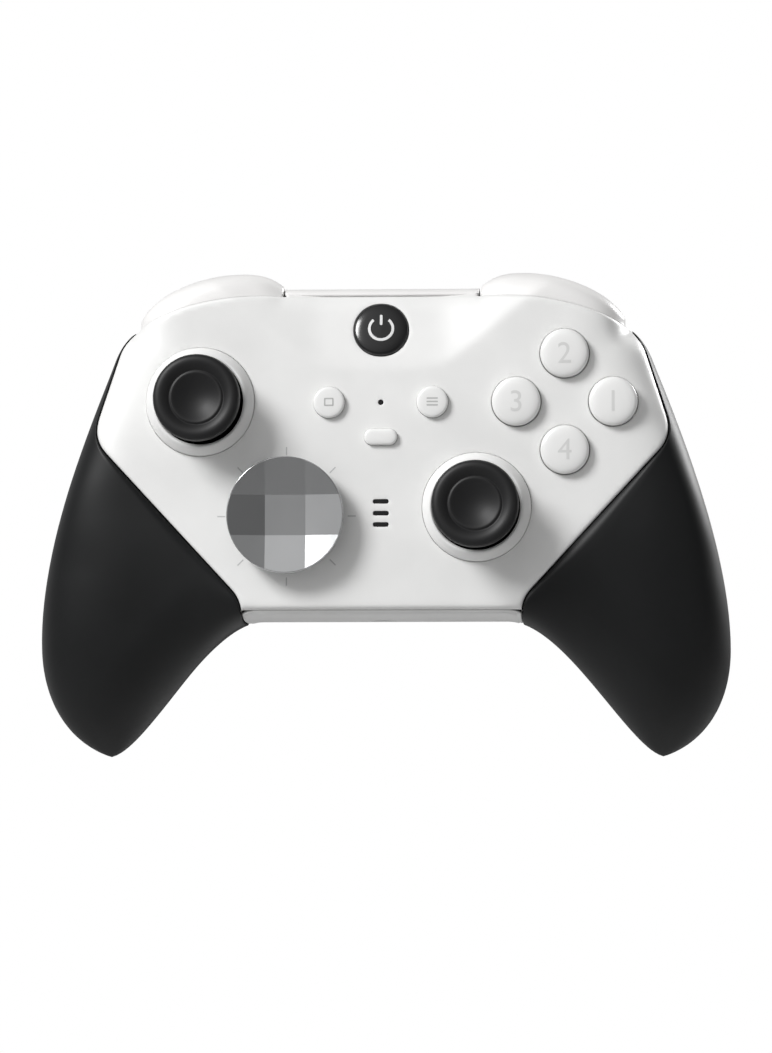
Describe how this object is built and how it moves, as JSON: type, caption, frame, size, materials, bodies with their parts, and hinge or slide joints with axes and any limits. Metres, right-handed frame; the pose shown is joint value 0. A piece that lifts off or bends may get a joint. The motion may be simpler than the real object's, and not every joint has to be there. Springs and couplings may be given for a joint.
{
  "type": "gamepad controller",
  "caption": "Two-handed gamepad with thumb sticks, faceted direction pad, face buttons, bumpers, triggers, rear paddle sockets and textured grips around a working inside.",
  "frame": {"origin": "middle of the flat dock face on the back", "axes": "+X to the right as seen from the front, +Y out of the back, +Z towards the bumpers"},
  "size_m": [0.1536, 0.0574, 0.1061],
  "materials": {
    "white_shell": "satin moulded plastic",
    "black_grip": "matte textured rubber",
    "black_part": "matte moulded plastic",
    "gloss_black": "polished",
    "gloss_white": "polished",
    "steel": "plain",
    "disc_metal": "bright faceted",
    "board": "solder mask",
    "battery_wrap": "wrapped cell",
    "contact_gold": "plated",
    "mat_rubber": "soft moulded"
  },
  "bodies": {
    "housing": {"front_shell": "white_shell", "back_shell": "white_shell", "left_grip": "black_grip", "right_grip": "black_grip", "top_plate": "white_shell", "mid_frame": "black_part", "main_board": "board", "button_board": "board", "battery_pack": "battery_wrap", "usb_socket": "steel", "audio_jack": "black_part", "status_lens": "gloss_black", "profile_light_pipes": "gloss_black", "charge_contacts": "contact_gold", "button_mat": "mat_rubber", "tap_switches": "steel", "paddle_switches": "black_part", "case_screws": "steel", "left_stick_collar": "white_shell", "right_stick_collar": "white_shell", "left_stick_base": "black_part", "right_stick_base": "black_part", "dpad_base": "black_part", "bumper_pins": "steel", "left_trigger_pin": "steel", "right_trigger_pin": "steel", "left_trigger_spring": "steel", "right_trigger_spring": "steel", "rumble_motors": "steel"},
    "left_stick_outer": {"left_stick_ring": "steel"},
    "left_stick_inner": {"left_stick_hub": "black_part"},
    "left_stick": {"left_stick_shaft": "black_part", "left_stick_cap": "black_grip"},
    "right_stick_outer": {"right_stick_ring": "steel"},
    "right_stick_inner": {"right_stick_hub": "black_part"},
    "right_stick": {"right_stick_shaft": "black_part", "right_stick_cap": "black_grip"},
    "dpad_outer": {"dpad_ring": "steel"},
    "dpad": {"dpad_disc": "disc_metal"},
    "button_north": {"button_north": "gloss_white"},
    "button_south": {"button_south": "gloss_white"},
    "button_east": {"button_east": "gloss_white"},
    "button_west": {"button_west": "gloss_white"},
    "view_button": {"view_button": "white_shell"},
    "menu_button": {"menu_button": "white_shell"},
    "profile_button": {"profile_button": "white_shell"},
    "guide_button": {"guide_button": "gloss_black"},
    "pair_button": {"pair_button": "white_shell"},
    "left_bumper": {"left_bumper": "white_shell"},
    "left_trigger": {"left_trigger": "white_shell"},
    "left_trigger_lock": {"left_trigger_lock": "black_part"},
    "left_rumble": {"left_rumble_weight": "steel"},
    "right_bumper": {"right_bumper": "white_shell"},
    "right_trigger": {"right_trigger": "white_shell"},
    "right_trigger_lock": {"right_trigger_lock": "black_part"},
    "right_rumble": {"right_rumble_weight": "steel"},
    "paddle_button_1": {"paddle_button_1": "white_shell"},
    "paddle_button_2": {"paddle_button_2": "white_shell"},
    "paddle_button_3": {"paddle_button_3": "white_shell"},
    "paddle_button_4": {"paddle_button_4": "white_shell"}
  },
  "joints": [
    {"name": "left_stick_up_down", "type": "hinge", "parent": "housing", "child": "left_stick_outer", "pos_m": [-0.0399, -0.0236, 0.0262], "axis": [1, 0, 0], "range_deg": [-17, 17], "stiffness_Nm_per_rad": 0.05},
    {"name": "left_stick_left_right", "type": "hinge", "parent": "left_stick_outer", "child": "left_stick_inner", "pos_m": [-0.0399, -0.0236, 0.0262], "axis": [0, 0, 1], "range_deg": [-17, 17], "stiffness_Nm_per_rad": 0.05},
    {"name": "left_stick_press", "type": "slide", "parent": "left_stick_inner", "child": "left_stick", "axis": [0, 1, 0], "range_m": [0, 0.0006], "stiffness_N_per_m": 2500},
    {"name": "right_stick_up_down", "type": "hinge", "parent": "housing", "child": "right_stick_outer", "pos_m": [0.0211, -0.02389, 0.0027], "axis": [1, 0, 0], "range_deg": [-17, 17], "stiffness_Nm_per_rad": 0.05},
    {"name": "right_stick_left_right", "type": "hinge", "parent": "right_stick_outer", "child": "right_stick_inner", "pos_m": [0.0211, -0.02389, 0.0027], "axis": [0, 0, 1], "range_deg": [-17, 17], "stiffness_Nm_per_rad": 0.05},
    {"name": "right_stick_press", "type": "slide", "parent": "right_stick_inner", "child": "right_stick", "axis": [0, 1, 0], "range_m": [0, 0.0006], "stiffness_N_per_m": 2500},
    {"name": "dpad_up_down", "type": "hinge", "parent": "housing", "child": "dpad_outer", "pos_m": [-0.0208, -0.02689, 0.0008], "axis": [1, 0, 0], "range_deg": [-5, 5], "stiffness_Nm_per_rad": 0.2},
    {"name": "dpad_left_right", "type": "hinge", "parent": "dpad_outer", "child": "dpad", "pos_m": [-0.0208, -0.02689, 0.0008], "axis": [0, 0, 1], "range_deg": [-5, 5], "stiffness_Nm_per_rad": 0.2},
    {"name": "button_north_press", "type": "slide", "parent": "housing", "child": "button_north", "axis": [0, 1, 0], "range_m": [0, 0.0012], "stiffness_N_per_m": 500},
    {"name": "button_south_press", "type": "slide", "parent": "housing", "child": "button_south", "axis": [0, 1, 0], "range_m": [0, 0.0012], "stiffness_N_per_m": 500},
    {"name": "button_east_press", "type": "slide", "parent": "housing", "child": "button_east", "axis": [0, 1, 0], "range_m": [0, 0.0012], "stiffness_N_per_m": 500},
    {"name": "button_west_press", "type": "slide", "parent": "housing", "child": "button_west", "axis": [0, 1, 0], "range_m": [0, 0.0012], "stiffness_N_per_m": 500},
    {"name": "view_button_press", "type": "slide", "parent": "housing", "child": "view_button", "axis": [0, 1, 0], "range_m": [0, 0.0006], "stiffness_N_per_m": 1200},
    {"name": "menu_button_press", "type": "slide", "parent": "housing", "child": "menu_button", "axis": [0, 1, 0], "range_m": [0, 0.0006], "stiffness_N_per_m": 1200},
    {"name": "profile_button_press", "type": "slide", "parent": "housing", "child": "profile_button", "axis": [0, 1, 0], "range_m": [0, 0.0006], "stiffness_N_per_m": 1200},
    {"name": "guide_button_press", "type": "slide", "parent": "housing", "child": "guide_button", "axis": [0, 0.9701, -0.2425], "range_m": [0, 0.0006], "stiffness_N_per_m": 1200},
    {"name": "pair_button_press", "type": "slide", "parent": "housing", "child": "pair_button", "axis": [0, 0, -1], "range_m": [0, 0.0006], "stiffness_N_per_m": 1200},
    {"name": "left_bumper_press", "type": "hinge", "parent": "housing", "child": "left_bumper", "pos_m": [-0.0252, -0.017, 0.0464], "axis": [0, -1, 0], "range_deg": [0, 2.5], "stiffness_Nm_per_rad": 1.2},
    {"name": "left_trigger_pull", "type": "hinge", "parent": "housing", "child": "left_trigger", "pos_m": [-0.041, -0.0125, 0.0434], "axis": [-1, 0, 0], "range_deg": [0, 14], "stiffness_Nm_per_rad": 0.12},
    {"name": "left_trigger_lock_slide", "type": "slide", "parent": "housing", "child": "left_trigger_lock", "axis": [0, 0, -1], "range_m": [0, 0.0069]},
    {"name": "left_rumble_spin", "type": "hinge", "parent": "housing", "child": "left_rumble", "pos_m": [-0.056, -0.011, -0.0188], "axis": [0, 0, 1], "continuous": true},
    {"name": "right_bumper_press", "type": "hinge", "parent": "housing", "child": "right_bumper", "pos_m": [0.0252, -0.017, 0.0464], "axis": [0, 1, 0], "range_deg": [0, 2.5], "stiffness_Nm_per_rad": 1.2},
    {"name": "right_trigger_pull", "type": "hinge", "parent": "housing", "child": "right_trigger", "pos_m": [0.041, -0.0125, 0.0434], "axis": [-1, 0, 0], "range_deg": [0, 14], "stiffness_Nm_per_rad": 0.12},
    {"name": "right_trigger_lock_slide", "type": "slide", "parent": "housing", "child": "right_trigger_lock", "axis": [0, 0, -1], "range_m": [0, 0.0069]},
    {"name": "right_rumble_spin", "type": "hinge", "parent": "housing", "child": "right_rumble", "pos_m": [0.056, -0.011, -0.0188], "axis": [0, 0, 1], "continuous": true},
    {"name": "paddle_button_1_press", "type": "slide", "parent": "housing", "child": "paddle_button_1", "axis": [0, -1, 0], "range_m": [0, 0.001], "stiffness_N_per_m": 900},
    {"name": "paddle_button_2_press", "type": "slide", "parent": "housing", "child": "paddle_button_2", "axis": [0, -1, 0], "range_m": [0, 0.001], "stiffness_N_per_m": 900},
    {"name": "paddle_button_3_press", "type": "slide", "parent": "housing", "child": "paddle_button_3", "axis": [0, -1, 0], "range_m": [0, 0.001], "stiffness_N_per_m": 900},
    {"name": "paddle_button_4_press", "type": "slide", "parent": "housing", "child": "paddle_button_4", "axis": [0, -1, 0], "range_m": [0, 0.001], "stiffness_N_per_m": 900}
  ]
}
